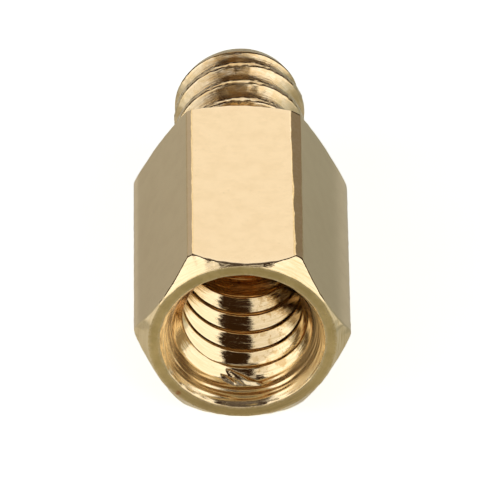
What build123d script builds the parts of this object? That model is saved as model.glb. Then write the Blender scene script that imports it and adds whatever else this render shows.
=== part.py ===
"""Hex standoff with a tapped hole in one end and a threaded stud on the other, turned from one hexagon bar.

Millimetres. The standoff lies on one of its flats on z = 0 with its axis along Y:
the open end faces -Y, the stud points to +Y, and the origin is under its middle.
"""

from build123d import *
from math import cos, pi, radians, sin, tan
import os

# Hexagon bar
across_flats = 5.0
bar_corner_radius = 0.28
body_length = 7.0
hex_sides = 6

# Turned ends of the bar: how far inside the flats each face ends, and the chamfer's angle from the axis
open_face_inset = 0.055
open_chamfer_angle = 42
shoulder_face_inset = 0.01
shoulder_chamfer_angle = 60

# Stud: a plain shank at the shoulder, then the thread, then a tapered tip that leads into its nut
stud_diameter = 3.505
stud_length = 4.0
shank_length = 0.4
tip_inset = 0.27
tip_length = 0.6

# Thread of the stud: one start, right-handed, with crests a little inside the shank and the tip. Its depth
# and the width of its root are shares of the pitch, and its crest starts at an angle around the axis
thread_inset = 0.02
thread_pitch = 0.79375
thread_depth_share = 0.58
thread_root_share = 0.125
thread_angle = 60
thread_start_angle = 197
flank_steps = 6

# Tapped hole: a flat rim around a mouth that tapers to a countersink, the hole drilled for a thread one size
# larger than the stud's, and the metal left between the drill's point and the shoulder
rim_width = 0.285
mouth_taper_angle = 36
mouth_taper_depth = 0.62
countersink_angle = 82
drill_diameter = 3.1
drill_point_angle = 118
hole_floor = 0.75

# Radii of the bar and of its two faces
flat_radius = across_flats / 2
corner_reach = flat_radius / cos(pi / hex_sides)
open_face_radius = flat_radius - open_face_inset
shoulder_face_radius = flat_radius - shoulder_face_inset

# Radii of the stud, its thread and the hole
shank_radius = stud_diameter / 2
crest_radius = shank_radius - thread_inset
thread_depth = thread_pitch * thread_depth_share
root_radius = crest_radius - thread_depth
tip_radius = shank_radius - tip_inset
hole_radius = drill_diameter / 2
mouth_radius = open_face_radius - rim_width
throat_radius = mouth_radius - mouth_taper_depth * tan(radians(mouth_taper_angle / 2))

# Heights along the axis, counted from the open face
total_length = body_length + stud_length
open_chamfer_top = (corner_reach - open_face_radius) / tan(radians(open_chamfer_angle))
shoulder_chamfer_height = (corner_reach - shoulder_face_radius) / tan(radians(shoulder_chamfer_angle))
shoulder_chamfer_start = body_length - shoulder_chamfer_height
thread_start = body_length + shank_length
tip_start = total_length - tip_length
thread_length = tip_start - thread_start
countersink_depth = (throat_radius - hole_radius) / tan(radians(countersink_angle / 2))
hole_top = mouth_taper_depth + countersink_depth
drill_tip = body_length - hole_floor
hole_bottom = drill_tip - hole_radius / tan(radians(drill_point_angle / 2))

# Half section of what the lathe cuts on the bar: hole, rim, chamfers and shoulder
section = Polyline(
    (0, 0, drill_tip),
    (hole_radius, 0, hole_bottom),
    (hole_radius, 0, hole_top),
    (throat_radius, 0, mouth_taper_depth),
    (mouth_radius, 0, 0),
    (open_face_radius, 0, 0),
    (corner_reach, 0, open_chamfer_top),
    (corner_reach, 0, shoulder_chamfer_start),
    (shoulder_face_radius, 0, body_length),
    (0, 0, body_length),
    close=True,
)
turned = revolve(make_face(section), Axis.Z)

# Drawn bar with softly rounded corners, with one flat square to Y
hexagon = RegularPolygon(flat_radius, hex_sides, major_radius=False)
bar = extrude(fillet(hexagon.vertices(), bar_corner_radius), body_length)


def turn_of(height):
    """How many degrees the thread turns while it climbs a height."""
    return 360 * height / thread_pitch


def flank(side):
    """One flank of the thread, cut across the axis: a spiral from the crest down to the root."""
    points = []
    for step in range(flank_steps + 1):
        drop = thread_depth * step / flank_steps
        angle = radians(side * turn_of(crest_width / 2 + drop * tan(radians(thread_angle / 2))))
        points.append(((crest_radius - drop) * cos(angle), (crest_radius - drop) * sin(angle)))
    return Spline(*points)


# Thread: its section across the axis turns as it climbs from the shank to the tip
root_width = thread_pitch * thread_root_share
crest_width = thread_pitch - root_width - 2 * thread_depth * tan(radians(thread_angle / 2))
crest_arc = CenterArc((0, 0), crest_radius, turn_of(-crest_width / 2), turn_of(crest_width))
root_arc = CenterArc((0, 0), root_radius, turn_of((thread_pitch - root_width) / 2), turn_of(root_width))
thread_face = make_face([crest_arc, flank(1), root_arc, flank(-1)]).face()
climb = (0, 0, thread_length)
thread = Solid.extrude_linear_with_rotation(thread_face, (0, 0, 0), climb, turn_of(thread_length))

# Stud: the shank, the thread and the tapered tip, one on the other
on_base = (Align.CENTER, Align.CENTER, Align.MIN)
shank = Pos(0, 0, body_length) * Cylinder(shank_radius, shank_length, align=on_base)
tip = Pos(0, 0, tip_start) * Cone(shank_radius, tip_radius, tip_length, align=on_base)
stud = shank + Pos(0, 0, thread_start) * Rot(0, 0, thread_start_angle) * thread + tip

# The turned bar with its stud, laid down on a flat with its middle over the origin
upright = (bar & turned) + stud
hex_standoff = Pos(0, -total_length / 2, flat_radius) * Rot(-90, 0, 0) * upright

os.makedirs("parts", exist_ok=True)
export_step(hex_standoff, "parts/hex_standoff.step")
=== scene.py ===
"""Looks of the brass hex standoff: one finely meshed piece for the solid, a floor, lamps and a camera.

Shapes are worked out in millimetres and put into Blender in metres. The axis lies along Y with the open end
at -Y, and heights along it are counted from the open face. Angles around it run clockwise as seen from the
open end, from straight up.
"""

import math

import bmesh
import bpy
import numpy as np
from mathutils import Matrix, Vector


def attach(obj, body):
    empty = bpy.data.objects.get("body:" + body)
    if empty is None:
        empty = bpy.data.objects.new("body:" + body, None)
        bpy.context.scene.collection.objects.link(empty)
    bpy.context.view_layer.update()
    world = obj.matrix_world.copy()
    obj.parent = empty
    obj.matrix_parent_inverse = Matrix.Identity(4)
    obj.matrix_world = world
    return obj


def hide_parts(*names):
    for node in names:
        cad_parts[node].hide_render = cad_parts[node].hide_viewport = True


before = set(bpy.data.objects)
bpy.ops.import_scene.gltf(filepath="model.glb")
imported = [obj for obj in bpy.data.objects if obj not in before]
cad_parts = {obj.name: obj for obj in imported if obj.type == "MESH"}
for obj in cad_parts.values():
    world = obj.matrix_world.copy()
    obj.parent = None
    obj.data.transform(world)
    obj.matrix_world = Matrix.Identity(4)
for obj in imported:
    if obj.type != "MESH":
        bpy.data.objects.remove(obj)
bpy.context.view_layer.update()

MM = 0.001
TURN = 2 * math.pi
SIXTH = math.pi / 3
TINY = 1e-9
scene = bpy.context.scene

# Hexagon bar and its turned ends. A chamfer is the radius that it gains per millimetre from the end
FLAT_RADIUS = 2.5
BODY_LENGTH = 7.0
TOTAL_LENGTH = 11.0
FACE_RADIUS = 2.445
FACE_CHAMFER = math.tan(math.radians(42))
SHOULDER_RADIUS = 2.49
SHOULDER_CHAMFER = math.tan(math.radians(60))

# Corners of the bar, from the one at the upper right clockwise: how far each is cut back along its flats,
# what share of that it gains towards the stud and loses towards the open end, and how softly the cut's
# edges are rounded
CORNER_REACH = FLAT_RADIUS / math.cos(SIXTH / 2)
CORNER_CUTS = (0.16, 0.09, 0.09, 0.09, 0.09, 0.09)
CORNER_TAPER_SHARES = (0.22, 0, 0, 0, 0, 0)
CORNER_SOFT = (0.006, 0.05, 0.05, 0.05, 0.05, 0.007)
UPPER_RIGHT, UPPER_LEFT = 0, 5

# Unevenness of those cuts as a share of each, and nicks in the upper right one: height, half width and how
# much deeper the cut is there, as a share
CORNER_WAVE_SHARE = 0.07
NICKS = ((3.35, 0.28, -0.14), (2.7, 0.1, 0.28))

# Painted shade on the upper cuts, from 0 to 1, and the width of the painted shade line at their edges as an
# angle
BAND_PAINTED_SHADE = {UPPER_RIGHT: 0.75, UPPER_LEFT: 0.15}
BAND_SHADE_LINE = 0.006

# Edges of the turned faces, from the mouth over the rim to the shoulder: how far each is rounded, how many
# rows of points lie between them, and the length over which the flats and the rim fade at their edges
EDGE_ROUNDS = (0.03, 0.02, 0.045, 0.02, 0.02)
ROWS_BETWEEN = (2, 3, 4, 38, 1, 2)
EDGE_BLEND = 0.03

# How far the mouth, the face and the two ends of the flats wander from a true edge
MOUTH_WAVE = 0.006
FACE_WAVE = 0.004
NEAR_WAVE = 0.009
FAR_WAVE = 0.006

# Mouth of the hole: a broken edge and a taper, each with its slope and the height where it ends, and then a
# countersink. The rounding where they meet the thread fades out at a height
MOUTH_RADIUS = 2.16
MOUTH_BREAK = 0.625
BREAK_DEPTH = 0.2
BREAK_ROUND = 0.02
MOUTH_TAPER = 0.313
TAPER_DEPTH = 0.72
TAPER_ROUND = 0.05
COUNTERSINK = math.tan(math.radians(45))
THREAD_ROUND = 0.010
THREAD_ROUND_END = 1.4
THREAD_ROUND_FADE = 0.3

# Marks that a tool left in the mouth: where the rows of the mouth start, the distances between the marks, how
# high they are, the lengths over which they start and end, and how their strength varies around the mouth
CONE_START = 0.08
RIDGE_LENGTHS = (0.12, 0.17, 0.26)
RIDGE_HEIGHT = 0.014
RIDGE_FADE_IN = 0.06
RIDGE_FADE_OUT = 0.12
RIDGE_STRENGTH = 0.6
RIDGE_VARIATION = 0.5
RIDGE_LIMITS = (0.1, 1.2)

# Slivers of metal left at the start of the hole's thread: where each begins and ends, as an angle around the
# axis in degrees and a height, then its width and how far it stands up. Both ends are narrow
SLIVERS = (
    (191.0, 0.90, 164.5, 0.585, 0.150, 0.065),
    (195.0, 0.79, 184.0, 0.625, 0.090, 0.055),
    (187.0, 0.76, 179.0, 0.64, 0.080, 0.050),
)
SLIVER_SPAN = (0.02, 0.98)
SLIVER_FULLNESS = 0.6

# Thread of the hole, a size larger than the stud's and of the same pitch, which starts shallow and fades out
# before the drill's point. The roundings of a crest and a root are shares of the flank
PITCH = 0.79375
HOLE_CREST = 1.55
HOLE_ROOT = 1.935
HOLE_FLANK = math.tan(math.radians(34.5))
HOLE_ROOT_FLAT = 0.125
HOLE_ROUND_SHARES = (0.06, 0.16)
HOLE_PHASE = 1.255
HOLE_START = 1.05
HOLE_START_SHARE = 0.55
HOLE_FADE_IN = 0.5
HOLE_FADE_OUT = 0.9
HOLE_DEPTH = 5.0
DRILL_TIP = 6.25
DRILL_POINT = math.tan(math.radians(59))

# Thread of the stud, which runs out into the shank and is cut by a tapered tip
STUD_CREST = 1.7525
STUD_ROOT = 1.285
STUD_FLANK = math.tan(math.radians(27.5))
STUD_ROOT_FLAT = 0.1
STUD_ROUND_SHARES = (0.1, 0.14)
STUD_PHASE = 9.148
SHANK_END = 7.4
RUN_OUT_BEFORE = 0.15
RUN_OUT = 0.4
CREST_INSET = 0.008
TIP_RADIUS = 1.4825
TIP_SLOPE = 0.45
TIP_ROUND = 0.01
TIP_ROUND_START = 10.0
TIP_ROUND_FADE = 0.2

# Torn crests of the stud and streaks on its flanks: how high both are, how far down a tear reaches and how
# much it leans, in radians per millimetre, and the depth after which the streaks repeat
TORN_HEIGHT = 0.005
TORN_DEPTH = 0.25
TORN_TWIST = 4
STREAK_HEIGHT = 0.006
STREAK_LENGTH = 0.5

# Columns of points on each flat, and those near a corner as shares of its cut's half width
COLUMNS_ON_FLAT = 30
CORNER_STEP_SHARES = (0, 0.45, 0.7, 0.8, 0.88, 0.96, 1.04, 1.12, 1.2, 1.32, 1.6)
CORNER_SPAN_SHARE = 1.9

# Rows of points that follow a thread, at the edge of a crest and before a root, as shares of the pitch, and
# how many even rows to a turn take their place in the mouth and at the tip
CREST_ROW_SHARES = (-0.02, 0.002, 0.028)
ROOT_ROW_SHARE = -0.04
MOUTH_ROWS = 36
MOUTH_ROWS_END = 1.5
TIP_ROWS = 22
TIP_ROWS_START = 10.2

# Level rows of the drill's point and of the stud's end, as shares of the radius there, with the gaps to the
# rows beside their edges, and the distance within which points are joined
DRILL_SHARES = (1, 0.97, 0.7, 0.4, 0.15, 0.0)
DRILL_GAPS = (0.1, 0.05)
END_SHARES = (1, 0.992, 0.97, 0.7, 0.4, 0.15, 0.0)
END_GAPS = (0.02, 0.006)
WELD = 2e-4


def smooth_max(a, b, width):
    return (a + b + np.sqrt((a - b) ** 2 + width ** 2)) / 2


def smooth_min(a, b, width):
    return -smooth_max(-a, -b, width)


def fade(value, length):
    """Zero below 0, one above length, and straight between."""
    return np.clip(value / length, 0, 1)


def waves(at, seed, low, high):
    """Smooth random values, about -1 to 1, with waves from low to high per turn of the angle at."""
    draw = np.random.default_rng(seed)
    counts = np.arange(low, high + 1)
    sizes = draw.normal(size=len(counts)) / math.sqrt(len(counts) / 2)
    starts = draw.uniform(0, TURN, len(counts))
    return sum(s * np.sin(c * at + p) for s, c, p in zip(sizes, counts, starts))


# Columns around the axis, closer together at the edges of the six corners

def corner_edge(cut):
    """Angle from the middle of a corner to the edge of its cut."""
    return math.atan2(cut * math.cos(SIXTH / 2), CORNER_REACH - cut * math.sin(SIXTH / 2))


def column_angles():
    steps = np.array(CORNER_STEP_SHARES)
    steps = np.concatenate([-steps[:0:-1], steps])
    angles = []
    for side in range(6):
        start = side * SIXTH - SIXTH / 2 + CORNER_SPAN_SHARE * corner_edge(CORNER_CUTS[side - 1])
        stop = side * SIXTH + SIXTH / 2 - CORNER_SPAN_SHARE * corner_edge(CORNER_CUTS[side])
        angles += list(np.linspace(start, stop, COLUMNS_ON_FLAT))
        angles += list(side * SIXTH + SIXTH / 2 + steps * corner_edge(CORNER_CUTS[side]))
    return np.array(angles)


ANGLES = column_angles()
COLUMNS = len(ANGLES)


def from_corner(corner):
    """Angle of every column from the middle of a corner."""
    return (ANGLES - (corner + 0.5) * SIXTH + math.pi) % TURN - math.pi


def hex_radius(along):
    """Radius of the bar at every column, with the edges of its corners a little uneven along their length."""
    side = np.round(ANGLES / SIXTH)
    radius = FLAT_RADIUS / np.cos(ANGLES - side * SIXTH) + 0 * along
    for corner, (cut, taper, soft) in enumerate(zip(CORNER_CUTS, CORNER_TAPER_SHARES, CORNER_SOFT)):
        off = from_corner(corner)
        near = np.abs(off) < SIXTH / 2
        wander = waves(along * TURN / BODY_LENGTH, seed=20 + corner, low=3, high=30)
        uneven = CORNER_WAVE_SHARE * wander + taper * (2 * along / BODY_LENGTH - 1)
        if corner == UPPER_RIGHT:
            for middle, half, share in NICKS:
                uneven = uneven + share * np.exp(-((along - middle) / half) ** 2)
        reach = CORNER_REACH - cut * (1 + uneven) * math.sin(SIXTH / 2)
        plane = reach / np.cos(np.where(near, off, 0))
        radius = np.where(near, smooth_min(radius, plane, soft), radius)
    return radius


def corner_band_shade():
    """How much painted shade every column gets: the two upper cuts, and a line at the edges of both."""
    bands = np.zeros(COLUMNS)
    for corner, across in BAND_PAINTED_SHADE.items():
        off = np.abs(from_corner(corner))
        edge = corner_edge(CORNER_CUTS[corner])
        line = np.exp(-((off - edge) / BAND_SHADE_LINE) ** 2)
        bands = np.maximum(bands, np.maximum(line, across * (off < edge)))
    return bands


class Skin:
    """Collects grids of points around the axis, and how turned each point is, how near a rounded edge that
    gets a painted highlight, how far on the rim, and how much painted shade it gets on the upper cuts.
    """

    MARKS = ("turned", "edge", "rim", "band")

    def __init__(self):
        self.points, self.quads, self.marks, self.count = [], [], [], 0

    def grid(self, radius, along, shift=0, turned=1.0, edge=0.0, rim=0.0, band=0.0):
        """Adds rows of points. At the seam, row i of the last column meets row i + shift of the first."""
        rows, columns = radius.shape
        xyz = np.stack([radius * np.sin(ANGLES), along, radius * np.cos(ANGLES)], axis=2).reshape(-1, 3)
        marks = np.stack([np.broadcast_to(m, radius.shape) for m in (turned, edge, rim, band)], axis=2)
        i, j = np.meshgrid(np.arange(rows - 1), np.arange(columns), indexing="ij")
        last = j == columns - 1

        def beside(row):
            return np.where(last, np.minimum(row + shift, rows - 1) * columns, row * columns + j + 1)

        quads = np.stack([i * columns + j, beside(i), beside(i + 1), (i + 1) * columns + j], axis=2)
        self.points.append(xyz)
        self.marks.append(marks.reshape(-1, len(self.MARKS)))
        self.quads.append(quads.reshape(-1, 4) + self.count)
        self.count += len(xyz)

    def mesh(self, name):
        """One closed mesh of all grids, in metres and in the CAD frame."""
        points = np.concatenate(self.points)
        points[:, 1] -= TOTAL_LENGTH / 2
        points[:, 2] += FLAT_RADIUS
        mesh = bpy.data.meshes.new(name)
        mesh.from_pydata((points * MM).tolist(), [], np.concatenate(self.quads).tolist())
        marks = np.concatenate(self.marks)
        for column, mark in enumerate(self.MARKS):
            layer = mesh.attributes.new(mark, "FLOAT", "POINT")
            layer.data.foreach_set("value", marks[:, column].astype(np.float32))
        bm = bmesh.new()
        bm.from_mesh(mesh)
        bmesh.ops.remove_doubles(bm, verts=bm.verts, dist=WELD * MM)
        bmesh.ops.dissolve_degenerate(bm, edges=bm.edges, dist=TINY)
        bmesh.ops.recalc_face_normals(bm, faces=bm.faces)
        for face in bm.faces:
            face.smooth = True
        print(name, "triangles", sum(len(f.verts) - 2 for f in bm.faces),
              "open edges", sum(1 for e in bm.edges if len(e.link_faces) != 2),
              "volume", round(bm.calc_volume() / MM ** 3, 2))
        bm.to_mesh(mesh)
        bm.free()
        return mesh


def profile_rows(keys, cuts, steps):
    """Rows along a profile with its inner corners rounded, and how near each row is to such a corner.

    keys: (radius, along) pairs over the columns. cuts: how far back each inner corner is cut.
    steps: how many rows to put between neighbouring corners.
    """
    most_cut_share = 0.4
    most_near_share = 0.25
    near_row = 0.02
    blank = np.zeros(COLUMNS)
    keys = [np.stack([blank + radius, blank + along], axis=1) for radius, along in keys]
    rows, edges = [keys[0]], [0.0]

    def add(row, edge):
        rows.append(row)
        edges.append(edge)

    def length(line):
        return np.linalg.norm(line, axis=1, keepdims=True)

    def part_way(line, cut):
        return line / np.maximum(length(line), TINY) * np.minimum(cut, length(line) * most_cut_share)

    start = keys[0]
    for n, (a, b) in enumerate(zip(keys[:-1], keys[1:])):
        inner = n < len(keys) - 2
        stop = b - part_way(b - a, cuts[n]) if inner else b
        span = stop - start
        near = np.minimum(most_near_share, near_row / np.maximum(length(span), TINY))
        add(start + span * near, 0.5)
        for t in np.linspace(0, 1, steps[n] + 2)[1:-1]:
            add(start + span * (near + (1 - 2 * near) * t), 0.0)
        add(stop - span * near, 0.5)
        add(stop, 1.0 if inner else 0.0)
        if inner:
            out = b + part_way(keys[n + 2] - b, cuts[n])
            for t in (0.25, 0.5, 0.75, 1.0):
                add((1 - t) ** 2 * stop + 2 * t * (1 - t) * b + t ** 2 * out, 1.0)
            start = out
    rows = np.array(rows)
    return rows[:, :, 0], rows[:, :, 1], np.array(edges)[:, None]


def bend(x, width):
    """Zero below, x above, with a rounded corner between."""
    return np.where(x < -width, 0, np.where(x > width, x, (x + width) ** 2 / (4 * width)))


class Thread:
    """The shape of one turn, and rows that follow it."""

    def __init__(self, depth, slope, root_flat, round_shares, middle):
        self.depth, self.middle = depth, middle
        self.crest_round, self.root_round = round_shares
        self.width = depth * slope
        self.start = PITCH / 2 - root_flat / 2 - self.width

    def place(self, along):
        """Distance of every point from the middle of its crest, along the axis."""
        phase = (along - self.middle) / PITCH - ANGLES / TURN
        return np.abs((phase + 0.5) % 1.0 - 0.5) * PITCH

    def cut(self, along):
        """How far every point lies below the crest."""
        share = (self.place(along) - self.start) / self.width
        up = bend(share, self.crest_round)
        return self.depth * (up - bend(up - 1, self.root_round))

    def row_shares(self):
        """Rows of one turn as shares of the pitch: close together at the crest's edges and the roots."""
        crest, root = self.start / PITCH, (self.start + self.width) / PITCH
        edge = [crest + share for share in CREST_ROW_SHARES]
        half = [0, *edge, (crest + root) / 2, root + ROOT_ROW_SHARE, root, 0.5]
        return np.array(half + [1 - share for share in half[-2:0:-1]])

    def rows(self, low, high, even=0):
        """Heights of rows along the thread between two levels, and the shift at the seam."""
        shares = np.arange(even) / even if even else self.row_shares()
        first = math.floor((low - self.middle) / PITCH) - 2
        last = math.ceil((high - self.middle) / PITCH) + 1
        starts = np.array([self.middle + PITCH * (n + s) for n in range(first, last + 1) for s in shares])
        along = starts[:, None] + PITCH * ANGLES / TURN
        return np.clip(along, low, high), len(shares)


def level_rows(radii, heights):
    """Rows that stay level around the axis."""
    shape = (len(heights), COLUMNS)
    return [np.broadcast_to(np.array(values)[:, None], shape) for values in (radii, heights)]


# Hole: mouth and thread, where whichever cuts deeper is left

HOLE = Thread(HOLE_ROOT - HOLE_CREST, HOLE_FLANK, HOLE_ROOT_FLAT, HOLE_ROUND_SHARES, HOLE_PHASE)


def sliver_height(along):
    """How far the slivers stand up from the wall of the hole."""
    height = np.zeros(along.shape)
    for first_angle, first_along, last_angle, last_along, width, stand in SLIVERS:
        run = np.array([math.radians(last_angle - first_angle) * HOLE_CREST, last_along - first_along])
        across = (ANGLES - math.radians(first_angle)) * HOLE_CREST
        ahead = along - first_along
        share = np.clip((across * run[0] + ahead * run[1]) / (run @ run), 0, 1)
        off = np.hypot(across - share * run[0], ahead - share * run[1])
        half = width / 2 * np.sin(math.pi * np.clip(share, *SLIVER_SPAN)) ** SLIVER_FULLNESS
        height = np.maximum(height, stand * np.sqrt(np.clip(1 - (off / half) ** 2, 0, 1)))
    return height


def ridges(along):
    """Marks that a tool left around the mouth, about -1 to 1, which come and go along their length."""
    total = np.zeros(along.shape)
    for number, length in enumerate(RIDGE_LENGTHS):
        drift = waves(ANGLES, seed=31 + number, low=1, high=5)
        strength = RIDGE_STRENGTH + RIDGE_VARIATION * waves(ANGLES, seed=41 + number, low=2, high=9)
        total = total + np.clip(strength, *RIDGE_LIMITS) * np.sin(TURN * along / length + drift)
    return total / 2


def mouth_radius(along):
    lip = MOUTH_RADIUS - BREAK_DEPTH * MOUTH_BREAK
    throat = lip - (TAPER_DEPTH - BREAK_DEPTH) * MOUTH_TAPER
    broken = MOUTH_RADIUS - MOUTH_BREAK * along
    taper = smooth_max(broken, lip - MOUTH_TAPER * (along - BREAK_DEPTH), BREAK_ROUND)
    return smooth_min(taper, throat - COUNTERSINK * (along - TAPER_DEPTH), TAPER_ROUND)


def hole_radius(along):
    start = HOLE_START_SHARE + (1 - HOLE_START_SHARE) * (along - HOLE_START) / HOLE_FADE_IN
    depth_share = fade(HOLE_DEPTH - along, HOLE_FADE_OUT) * np.clip(start, HOLE_START_SHARE, 1)
    thread = HOLE_CREST + HOLE.cut(along) * depth_share
    rounding = THREAD_ROUND * fade(THREAD_ROUND_END - along, THREAD_ROUND_FADE)
    wall = smooth_max(thread, mouth_radius(along), rounding)
    ridged = fade(TAPER_DEPTH - along, RIDGE_FADE_OUT) * fade(along - CONE_START, RIDGE_FADE_IN)
    return wall - sliver_height(along) + RIDGE_HEIGHT * ridged * ridges(along)


def add_hole(skin):
    for low, high, even in ((CONE_START, MOUTH_ROWS_END, MOUTH_ROWS), (MOUTH_ROWS_END, HOLE_DEPTH, 0)):
        along, shift = HOLE.rows(low, high, even)
        skin.grid(hole_radius(along), along, shift)
    bottom = DRILL_TIP - HOLE_CREST / DRILL_POINT
    heights = [HOLE_DEPTH, HOLE_DEPTH + DRILL_GAPS[0], bottom - DRILL_GAPS[1], bottom]
    skin.grid(*level_rows([HOLE_CREST] * len(heights), heights))
    shares = np.array(DRILL_SHARES)
    skin.grid(*level_rows(HOLE_CREST * shares, DRILL_TIP - (DRILL_TIP - bottom) * shares))


# Outside, from the mouth over the rim and the hexagon to the shoulder

def add_outside(skin):
    base = hex_radius(np.zeros(1))
    near_edge = (base - FACE_RADIUS) / FACE_CHAMFER + NEAR_WAVE * waves(ANGLES, seed=3, low=9, high=60)
    far_chamfer = (base - SHOULDER_RADIUS) / SHOULDER_CHAMFER
    far_edge = BODY_LENGTH - far_chamfer + FAR_WAVE * waves(ANGLES, seed=4, low=9, high=60)
    keys = [
        (hole_radius(np.full((1, COLUMNS), CONE_START))[0], CONE_START),
        (MOUTH_RADIUS + MOUTH_WAVE * waves(ANGLES, seed=7, low=2, high=30), 0),
        (FACE_RADIUS + FACE_WAVE * waves(ANGLES, seed=5, low=3, high=40), 0),
        (base, near_edge),
        (base, far_edge),
        (SHOULDER_RADIUS, BODY_LENGTH),
        (STUD_CREST, BODY_LENGTH),
    ]
    radius, along, edge = profile_rows(keys, EDGE_ROUNDS, ROWS_BETWEEN)
    on_flat = fade(np.minimum(along - near_edge, far_edge - along), EDGE_BLEND)
    radius = radius + (hex_radius(along) - base) * on_flat
    rim = np.clip(1 - along / EDGE_BLEND, 0, 1)
    skin.grid(radius, along, turned=1 - on_flat, edge=edge, rim=rim, band=on_flat * corner_band_shade())


# Stud: thread that runs out at the shank and is cut by the tapered tip

STUD = Thread(STUD_CREST - STUD_ROOT, STUD_FLANK, STUD_ROOT_FLAT, STUD_ROUND_SHARES, STUD_PHASE)


def stud_radius(along):
    taper = TIP_RADIUS + (TOTAL_LENGTH - along) * TIP_SLOPE
    cut = STUD.cut(along)
    tears = waves(ANGLES + TORN_TWIST * along, seed=51, low=8, high=45) - 1
    torn = TORN_HEIGHT * tears * np.clip(1 - cut / TORN_DEPTH, 0, 1)
    drift = waves(ANGLES, seed=53, low=2, high=9)
    streaks = STREAK_HEIGHT * waves(TURN * cut / STREAK_LENGTH + drift, seed=52, low=3, high=9)
    depth_share = fade(along - SHANK_END + RUN_OUT_BEFORE, RUN_OUT)
    thread = STUD_CREST - (cut - torn - streaks + CREST_INSET) * depth_share
    return smooth_min(thread, taper, TIP_ROUND * fade(along - TIP_ROUND_START, TIP_ROUND_FADE))


def add_stud(skin):
    end, bevel = (TOTAL_LENGTH - gap for gap in END_GAPS)
    for low, high, even in ((BODY_LENGTH, TIP_ROWS_START, 0), (TIP_ROWS_START, end, TIP_ROWS)):
        along, shift = STUD.rows(low, high, even)
        skin.grid(stud_radius(along), along, shift)
    shares = np.array(END_SHARES)
    heights = [end, bevel] + [TOTAL_LENGTH] * (len(shares) - 2)
    last_row = stud_radius(np.full((1, COLUMNS), end))
    skin.grid(last_row * shares[:, None], level_rows(shares, heights)[1])


def build_standoff():
    skin = Skin()
    add_outside(skin)
    add_hole(skin)
    add_stud(skin)
    piece = bpy.data.objects.new("hex_standoff_turned", skin.mesh("hex_standoff_turned"))
    scene.collection.objects.link(piece)
    return piece


piece = build_standoff()


# Materials

class Nodes:
    """Short ways to add and join shader nodes."""

    def __init__(self, name):
        self.material = bpy.data.materials.new(name)
        self.material.use_nodes = True
        self.tree = self.material.node_tree
        self.tree.nodes.clear()

    def add(self, kind, inputs=None, **settings):
        node = self.tree.nodes.new(kind)
        for key, value in settings.items():
            setattr(node, key, value)
        for key, value in (inputs or {}).items():
            if isinstance(value, bpy.types.NodeSocket):
                self.tree.links.new(value, node.inputs[key])
            else:
                node.inputs[key].default_value = value
        return node

    def math(self, operation, *values):
        return self.add("ShaderNodeMath", dict(enumerate(values)), operation=operation).outputs[0]

    def plus(self, a, b):
        return self.math("ADD", a, b)

    def times(self, a, b):
        return self.math("MULTIPLY", a, b)

    def blend(self, factor, a, b):
        return self.add("ShaderNodeMix", {0: factor, 6: a, 7: b}, data_type="RGBA").outputs[2]

    def ramp(self, value, low, high, at_low=0.0, at_high=1.0):
        names = {"Value": value, "From Min": low, "From Max": high, "To Min": at_low, "To Max": at_high}
        return self.add("ShaderNodeMapRange", names, interpolation_type="SMOOTHSTEP").outputs[0]

    def noise(self, vector, scale, detail, roughness):
        names = {"Vector": vector, "Scale": scale, "Detail": detail, "Roughness": roughness}
        return self.add("ShaderNodeTexNoise", names).outputs[0]

    def mark(self, name):
        return self.add("ShaderNodeAttribute", attribute_name=name).outputs["Fac"]

    def vector(self, x, y, z):
        return self.add("ShaderNodeCombineXYZ", {0: x, 1: y, 2: z}).outputs[0]


# Colours of the brass, in pairs where a pattern blends two of them
FLAT_BRASS = ((0.80, 0.617, 0.372, 1), (0.765, 0.582, 0.342, 1))
TURNED_BRASS = ((0.83, 0.665, 0.42, 1), (0.76, 0.595, 0.35, 1))
# The rim's brass is painted darker as shade, and darker still low down
RIM_SHADED_BRASS = ((0.69, 0.51, 0.225, 1), (0.56, 0.405, 0.165, 1))
RIM_LOW_SHADE = (0.36, 0.26, 0.12, 1)
RIM_SPOT = (0.36, 0.13, 0.05, 1)
# Colour painted on the upper cuts and along their edges as shade
BAND_SHADE_BRASS = (0.6, 0.4, 0.14, 1)
STUD_BRASS = ((0.84, 0.69, 0.46, 1), (0.74, 0.57, 0.33, 1))
# Brown smears that are painted stronger along the upper middle as shade, and painted shade in the roots
STUD_SMEAR_AND_SHADE = (0.66, 0.42, 0.17, 1)
STUD_ROOT_SHADE = (0.4, 0.22, 0.07, 1)
# Painted shade on the upper wall of the hole
HOLE_UPPER_SHADE = (0.66, 0.36, 0.14, 1)
# Wear, painted stronger to the right as shade
WEAR_AND_SHADE_BRASS = (0.66, 0.48, 0.23, 1)
HOLE_SMUDGE = (0.5, 0.32, 0.12, 1)
# The mouth's brass is painted brighter than the bar's as light, and brighter still on the right
MOUTH_LIT_BRASS = ((0.93, 0.77, 0.5, 1), (0.86, 0.68, 0.41, 1))
MOUTH_RIGHT_LIGHT = (0.99, 0.79, 0.45, 1)
SPECK = (0.42, 0.28, 0.13, 1)
# Colour painted on rounded edges as a highlight
EDGE_SHINE = (0.9, 0.74, 0.5, 1)

# Patterns on the brass, over millimetres. Marks around the axis are squeezed across it, drawn marks are
# stretched along the bar, and the stud's smears, which also carry painted shade, are squeezed along it
MOTTLE = {"scale": 2.2, "detail": 4.0, "roughness": 0.6}
FINE_GRAIN = {"scale": 14.0, "detail": 3.0, "roughness": 0.6}
TOOL_MARKS = {"scale": 1.3, "detail": 3.0, "roughness": 0.6}
TOOL_SQUEEZE = 14.0
ARCS = {"scale": 1.6, "detail": 3.0, "roughness": 0.6}
ARC_SQUEEZE = 20.0
DRAWN_MARKS = {"scale": 1.0, "detail": 3.0, "roughness": 0.6}
DRAWN_STRETCH = (9.0, 0.4, 9.0)
CLOUDS = {"scale": 3.0, "detail": 3.0, "roughness": 0.6}
SMEAR_AND_SHADE_STREAKS = {"scale": 2.2, "detail": 4.0, "roughness": 0.65}
SMEAR_AND_SHADE_SQUEEZE = 7.0
SMUDGES = {"scale": 3.4, "detail": 4.0, "roughness": 0.65}
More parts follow.
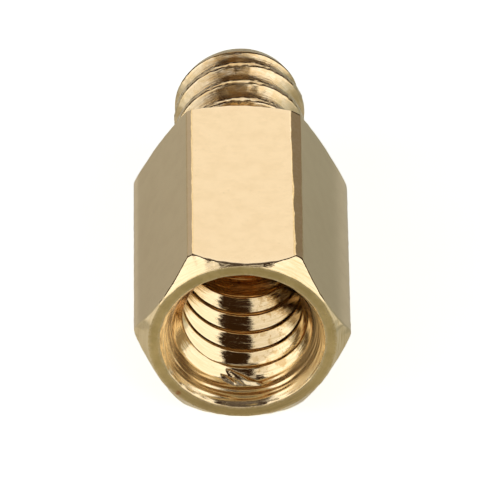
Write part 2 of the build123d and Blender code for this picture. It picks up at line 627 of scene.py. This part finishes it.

# Places on the brass: a reddish spot on the rim, the line along which the stud's smears are painted strongest
# as shade, and the borders of the stud, the hole and its mouth
SPOT_PLACE = (-1.64, -TOTAL_LENGTH / 2, 0.79)
SMEAR_AND_SHADE_X = -0.2
SHOULDER_Y = BODY_LENGTH - TOTAL_LENGTH / 2
STUD_BORDER = (SHOULDER_Y, SHOULDER_Y + 0.1)
HOLE_BORDER = (2.05, 2.12)
MOUTH_BORDER = (2.1, MOUTH_RADIUS)
MOUTH_END = (0.65 - TOTAL_LENGTH / 2, 0.8 - TOTAL_LENGTH / 2)

# Roughness added to the polish of the bar, and heights of the patterns as shares of the bump
RIM_ROUGH = 0.22
STUD_ROUGH = 0.14
MOUTH_ROUGH = 0.14
TOOL_SHARE = 0.9
DRAWN_SHARE = 0.06
MOTTLE_SHARE = 0.03
BUMP_HEIGHT = 0.005


class Brass(Nodes):
    """Drawn flats, turned faces, a dull rim painted darker as shade, a mouth painted brighter as light, and a
    stud and hole with painted shade and some tarnish.
    """

    def __init__(self):
        super().__init__("brass")
        place = self.add("ShaderNodeTexCoord").outputs["Object"]
        self.mm = self.add("ShaderNodeVectorMath", {0: place, 3: 1 / MM}, operation="SCALE").outputs[0]
        self.x, self.y, z = self.add("ShaderNodeSeparateXYZ", {0: self.mm}).outputs
        self.up = self.math("SUBTRACT", z, FLAT_RADIUS)
        self.radius = self.math("SQRT", self.plus(self.times(self.x, self.x), self.times(self.up, self.up)))
        self.turned, self.edge, self.rim, self.band = (self.mark(name) for name in Skin.MARKS)
        self.mottle = self.noise(self.mm, **MOTTLE)
        self.fine = self.noise(self.mm, **FINE_GRAIN)
        self.tool = self.noise(self.around(TOOL_SQUEEZE), **TOOL_MARKS)
        self.streak = self.ramp(self.noise(self.around(ARC_SQUEEZE), **ARCS), low=0.45, high=0.7)
        self.stud = self.ramp(self.y, *STUD_BORDER)
        in_hole = self.ramp(self.radius, *HOLE_BORDER, at_low=1.0, at_high=0.0)
        self.hole = self.times(in_hole, self.math("SUBTRACT", 1.0, self.stud))
        in_mouth = self.ramp(self.radius, *MOUTH_BORDER, at_low=1.0, at_high=0.0)
        self.mouth = self.times(in_mouth, self.ramp(self.y, *MOUTH_END, at_low=1.0, at_high=0.0))
        # Right side of the mouth, painted brighter as light and made rougher
        self.mouth_right = self.ramp(self.x, low=0.7, high=1.8)

    def around(self, squeeze):
        """Place for patterns that run around the axis."""
        return self.vector(self.times(self.radius, squeeze), self.x, self.up)

    def bar_colour(self):
        flat = self.blend(self.ramp(self.mottle, low=0.35, high=0.7), *FLAT_BRASS)
        turned = self.blend(self.ramp(self.tool, low=0.3, high=0.7), *TURNED_BRASS)
        return self.blend(self.turned, flat, turned)

    def rim_colour(self):
        """Dull brass painted darker as shade, painted darker still low down, with a reddish spot."""
        colour = self.blend(self.ramp(self.mottle, low=0.35, high=0.65), *RIM_SHADED_BRASS)
        # Painted shade, darker low down
        low_shade = self.ramp(self.up, low=-2.4, high=-0.6, at_low=0.7, at_high=0.0)
        colour = self.blend(low_shade, colour, RIM_LOW_SHADE)
        away = self.add("ShaderNodeVectorMath", {0: self.mm, 1: SPOT_PLACE}, operation="DISTANCE")
        spot = self.ramp(away.outputs["Value"], low=0.03, high=0.11, at_low=0.8, at_high=0.0)
        return self.blend(spot, colour, RIM_SPOT)

    def stud_colour(self):
        """Cloudy brass with brown smears, painted stronger along its upper middle as shade, and painted shade
        in its roots.
        """
        colour = self.blend(self.ramp(self.noise(self.mm, **CLOUDS), low=0.4, high=0.6), *STUD_BRASS)
        # Smears, painted stronger along the upper middle as shade
        from_middle = self.math("ABSOLUTE", self.plus(self.x, -SMEAR_AND_SHADE_X))
        middle = self.ramp(from_middle, low=0.25, high=1.0, at_low=0.85, at_high=0.25)
        place = self.vector(self.x, self.times(self.y, SMEAR_AND_SHADE_SQUEEZE), self.up)
        smear_and_shade = self.times(self.ramp(self.noise(place, **SMEAR_AND_SHADE_STREAKS), low=0.38, high=0.58), middle)
        colour = self.blend(smear_and_shade, colour, STUD_SMEAR_AND_SHADE)
        # Painted shade in the thread's roots
        root_shade = self.ramp(self.radius, low=1.33, high=1.45, at_low=0.8, at_high=0.0)
        return self.blend(root_shade, colour, STUD_ROOT_SHADE)

    def shade_and_tarnish(self, colour):
        """Painted shade on the upper wall of the hole, wear in arcs on turned faces that is painted darker to
        the right as shade, and smudges at the hole's right.
        """
        # Painted shade, darker up the wall of the hole
        colour = self.blend(self.times(self.hole, self.ramp(self.up, low=0.0, high=1.0)), colour, HOLE_UPPER_SHADE)
        # Wear in arcs, painted stronger to the right as shade
        wear_and_shade = self.ramp(self.x, low=0.0, high=1.6, at_low=0.3, at_high=0.8)
        colour = self.blend(self.times(self.times(wear_and_shade, self.streak), self.turned), colour, WEAR_AND_SHADE_BRASS)
        cloud = self.ramp(self.noise(self.mm, **SMUDGES), low=0.5, high=0.62)
        smudge = self.times(cloud, self.ramp(self.x, low=-0.1, high=0.7, at_low=0.0, at_high=0.7))
        return self.blend(self.times(smudge, self.hole), colour, HOLE_SMUDGE)

    def mouth_colour(self):
        # Painted light: brighter brass in the mouth, brighter still on the right
        return self.blend(self.mouth_right, self.blend(self.streak, *MOUTH_LIT_BRASS), MOUTH_RIGHT_LIGHT)

    def colour(self):
        colour = self.blend(self.rim, self.bar_colour(), self.rim_colour())
        # Painted shade on the upper cuts and along their edges
        band = self.times(self.band, self.ramp(self.fine, low=0.35, high=0.6, at_low=0.45, at_high=0.8))
        colour = self.blend(band, colour, BAND_SHADE_BRASS)
        colour = self.blend(self.stud, colour, self.stud_colour())
        colour = self.blend(self.mouth, self.shade_and_tarnish(colour), self.mouth_colour())
        specks = self.ramp(self.fine, low=0.66, high=0.74, at_low=0.0, at_high=0.4)
        colour = self.blend(specks, colour, SPECK)
        # Painted highlight on rounded edges
        shine = self.times(self.edge, self.ramp(self.fine, low=0.35, high=0.6, at_low=0.0, at_high=0.35))
        return self.blend(shine, colour, EDGE_SHINE)

    def roughness(self):
        rough = self.ramp(self.mottle, low=0.3, high=0.7, at_low=0.05, at_high=0.08)
        rough = self.plus(rough, self.ramp(self.fine, low=0.4, high=0.75, at_low=0.0, at_high=0.05))
        rough = self.plus(rough, self.times(self.rim, RIM_ROUGH))
        rough = self.plus(rough, self.times(self.stud, STUD_ROUGH))
        mouth_rough = self.plus(MOUTH_ROUGH, self.times(self.mouth_right, MOUTH_ROUGH))
        return self.plus(rough, self.times(self.mouth, mouth_rough))

    def bump(self):
        """Tool marks around the axis on turned faces, and drawing marks along it."""
        stretched = {0: self.mm, 1: DRAWN_STRETCH}
        along = self.add("ShaderNodeVectorMath", stretched, operation="MULTIPLY").outputs[0]
        drawn = self.times(self.noise(along, **DRAWN_MARKS), DRAWN_SHARE)
        turned = self.times(self.times(self.tool, self.turned), TOOL_SHARE)
        height = self.plus(turned, self.plus(drawn, self.times(self.mottle, MOTTLE_SHARE)))
        names = {"Strength": 1.0, "Distance": BUMP_HEIGHT * MM, "Height": height}
        return self.add("ShaderNodeBump", names).outputs[0]


def brass_material():
    n = Brass()
    shading = {"Base Color": n.colour(), "Metallic": 1.0, "Roughness": n.roughness(), "Normal": n.bump()}
    shader = n.add("ShaderNodeBsdfPrincipled", shading)
    n.add("ShaderNodeOutputMaterial", {"Surface": shader.outputs[0]})
    return n.material


# Floor: the glow that makes it white to the camera, and the dimmer glow that the metal shows. That one fills
# a rounded sheet around the standoff and two fields in front of it, to the left and right
FLOOR_HALF = 2000.0
FLOOR_GLOW = 0.7
SHEET_GLOW = 0.13
SHEET_MIDDLE = 2.1
SHEET_HALVES = (6.7, 11.2)
SHEET_POWER = 8.0
SHEET_BORDER = (1.15, 2.6)
FRONT_GLOW = 0.42
FRONT_ACROSS = (8, 12)
FRONT_AHEAD = (-7, -1)
WHITE = (1, 1, 1, 1)
# Paper painted darker to the right as shade, which the metal's right faces show
PAPER_LEFT = (0.97, 0.99, 0.89, 1)
PAPER_RIGHT_SHADED = (0.78, 0.83, 0.73, 1)
PAPER_HALF = 8


def floor_material():
    """White floor, which the metal shows more dimly than the camera sees it."""
    n = Nodes("floor")
    place = n.add("ShaderNodeTexCoord").outputs["Object"]
    x, y = n.add("ShaderNodeSeparateXYZ", {0: place}).outputs[:2]
    from_middle = (x, n.math("SUBTRACT", y, SHEET_MIDDLE * MM))
    shares = [n.math("DIVIDE", off, half * MM) for off, half in zip(from_middle, SHEET_HALVES)]
    powers = [n.math("POWER", n.math("ABSOLUTE", share), SHEET_POWER) for share in shares]
    sheet = n.ramp(n.plus(*powers), *SHEET_BORDER, at_low=1.0, at_high=0.0)
    across = n.ramp(n.math("ABSOLUTE", x), *(side * MM for side in FRONT_ACROSS))
    ahead = n.ramp(y, *(side * MM for side in FRONT_AHEAD), at_low=1.0, at_high=0.0)
    mirrored = n.plus(n.times(sheet, SHEET_GLOW), n.times(n.times(across, ahead), FRONT_GLOW))

    rays = n.add("ShaderNodeLightPath").outputs
    seen = n.math("MAXIMUM", rays["Is Camera Ray"], rays["Is Transmission Ray"])
    strength = n.plus(n.times(seen, FLOOR_GLOW), n.times(mirrored, rays["Is Glossy Ray"]))
    glow = n.add("ShaderNodeEmission", {"Color": WHITE, "Strength": strength})
    # Paper painted darker to the right as shade
    shade = n.blend(n.ramp(x, -PAPER_HALF * MM, PAPER_HALF * MM), PAPER_LEFT, PAPER_RIGHT_SHADED)
    paper = n.add("ShaderNodeBsdfDiffuse", {"Color": shade})
    both = n.add("ShaderNodeAddShader", {0: glow.outputs[0], 1: paper.outputs[0]})
    n.add("ShaderNodeOutputMaterial", {"Surface": both.outputs[0]})
    return n.material


piece.data.materials.append(brass_material())
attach(piece, "root")
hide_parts("hex_standoff")

floor_mesh = bpy.data.meshes.new("floor")
floor_side = FLOOR_HALF * MM
floor_corners = [(x * floor_side, y * floor_side, 0) for x, y in ((-1, -1), (1, -1), (1, 1), (-1, 1))]
floor_mesh.from_pydata(floor_corners, [], [(0, 1, 2, 3)])
floor = bpy.data.objects.new("floor", floor_mesh)
scene.collection.objects.link(floor)
floor.data.materials.append(floor_material())


# Lamps, at azimuths that start on the camera's side and grow to the right as seen from there. Upright ones
# have a first and a last azimuth, a low and a high elevation, in degrees, and a radiance
LAMP_DISTANCE = 300.0
SOFT_BOXES = {
    "soft_box_left_inner": (-21, -46, -1, 50, 1.06),
    "soft_box_left": (-46, -82, -1, 52, 1.5),
    "soft_box_right": (19, 82, -1, 53, 1.45),
    "strip_low": (-21, 19, 1, 18, 1.1),
    "strip_middle": (-21, 19, 18, 26, 0.8),
}

# Panels square to their direction have an azimuth and an elevation, the degrees from their middle to their
# sides and to their top, and a radiance
PANELS = {
    "panel_over": (0, 60, 18, 3.5, 0.55),
    "panel_top": (180, 74, 15, 9, 0.35),
    "panel_back": (180, 42, 11, 18, 1.16),
    "panel_high": (0, 79, 20, 10, 0.07),
    "panel_back_inner_left": (180 + 21, 33, 9, 11, 0.95),
    "panel_back_inner_right": (180 - 21, 33, 9, 11, 0.95),
    "panel_back_left": (180 + 36, 20, 14, 20, 0.53),
    "panel_back_right": (180 - 36, 20, 14, 20, 0.28),
}
WORLD_COLOUR = (0.035, 0.016, 0.006, 1)

world = bpy.data.worlds.new("studio")
scene.world = world
world.use_nodes = True
world.node_tree.nodes["Background"].inputs["Color"].default_value = WORLD_COLOUR
world.node_tree.nodes["Background"].inputs["Strength"].default_value = 1.0


def add_lamp(name, way, middle, wide, high, radiance):
    """A rectangular lamp, at a place counted from the middle of the standoff, that shines against way."""
    lamp = bpy.data.lights.new(name, "AREA")
    lamp.shape = "RECTANGLE"
    lamp.size = wide * MM
    lamp.size_y = high * MM
    lamp.energy = radiance * math.pi * wide * high * MM ** 2
    holder = bpy.data.objects.new(name, lamp)
    holder.location = (middle + Vector((0, 0, FLAT_RADIUS))) * MM
    holder.rotation_mode = "QUATERNION"
    holder.rotation_quaternion = way.to_track_quat("Z", "Y")
    holder.visible_camera = False
    scene.collection.objects.link(holder)


def direction(azimuth, elevation):
    a, e = math.radians(azimuth), math.radians(elevation)
    return Vector((math.sin(a) * math.cos(e), -math.cos(a) * math.cos(e), math.sin(e)))


def lamp_reach(degrees):
    """How far from its middle a lamp reaches to cover some degrees."""
    return LAMP_DISTANCE * math.tan(math.radians(degrees))


def soft_box(name, first, last, low, high, radiance):
    way = direction((first + last) / 2, 0)
    bottom, top = lamp_reach(low), lamp_reach(high)
    middle = way * LAMP_DISTANCE + Vector((0, 0, (bottom + top) / 2))
    add_lamp(name, way, middle, 2 * lamp_reach(abs(last - first) / 2), top - bottom, radiance)


def panel(name, azimuth, elevation, to_side, to_top, radiance):
    way = direction(azimuth, elevation)
    add_lamp(name, way, way * LAMP_DISTANCE, 2 * lamp_reach(to_side), 2 * lamp_reach(to_top), radiance)


for name, numbers in SOFT_BOXES.items():
    soft_box(name, *numbers)
for name, numbers in PANELS.items():
    panel(name, *numbers)


# Camera, placed from the photograph's viewing angle: the middle of the open face is at a pixel of the picture
ELEVATION, YAW, TILT = math.radians(37.32), math.radians(-1.62), math.radians(1.85)
DISTANCE = 290.0
PIXELS_PER_MM = 38.42
FACE_PIXEL = (242.55, 341.7)
IMAGE = 480
SENSOR = 36.0
CLIP_START = 10.0

right = Vector((math.cos(YAW), math.sin(YAW), 0))
level = Vector((-math.sin(YAW), math.cos(YAW), 0))
forward = level * math.cos(ELEVATION) - Vector((0, 0, math.sin(ELEVATION)))
up = right.cross(forward)
right, up = math.cos(TILT) * right + math.sin(TILT) * up, math.cos(TILT) * up - math.sin(TILT) * right
face_centre = Vector((0, -TOTAL_LENGTH / 2, FLAT_RADIUS))
eye = face_centre - forward * DISTANCE
aside = right * (IMAGE / 2 - FACE_PIXEL[0]) + up * (FACE_PIXEL[1] - IMAGE / 2)
aim = face_centre + aside / PIXELS_PER_MM
forward = (aim - eye).normalized()
right = forward.cross(up).normalized()
up = right.cross(forward)

camera_data = bpy.data.cameras.new("camera")
camera_data.sensor_width = SENSOR
camera_data.lens = SENSOR * PIXELS_PER_MM * DISTANCE / IMAGE
camera_data.clip_start = CLIP_START * MM
camera = bpy.data.objects.new("camera", camera_data)
turn = Matrix((right, up, -forward)).transposed().to_4x4()
camera.matrix_world = Matrix.Translation(eye * MM) @ turn
scene.collection.objects.link(camera)
scene.camera = camera
scene.view_settings.view_transform = "Standard"
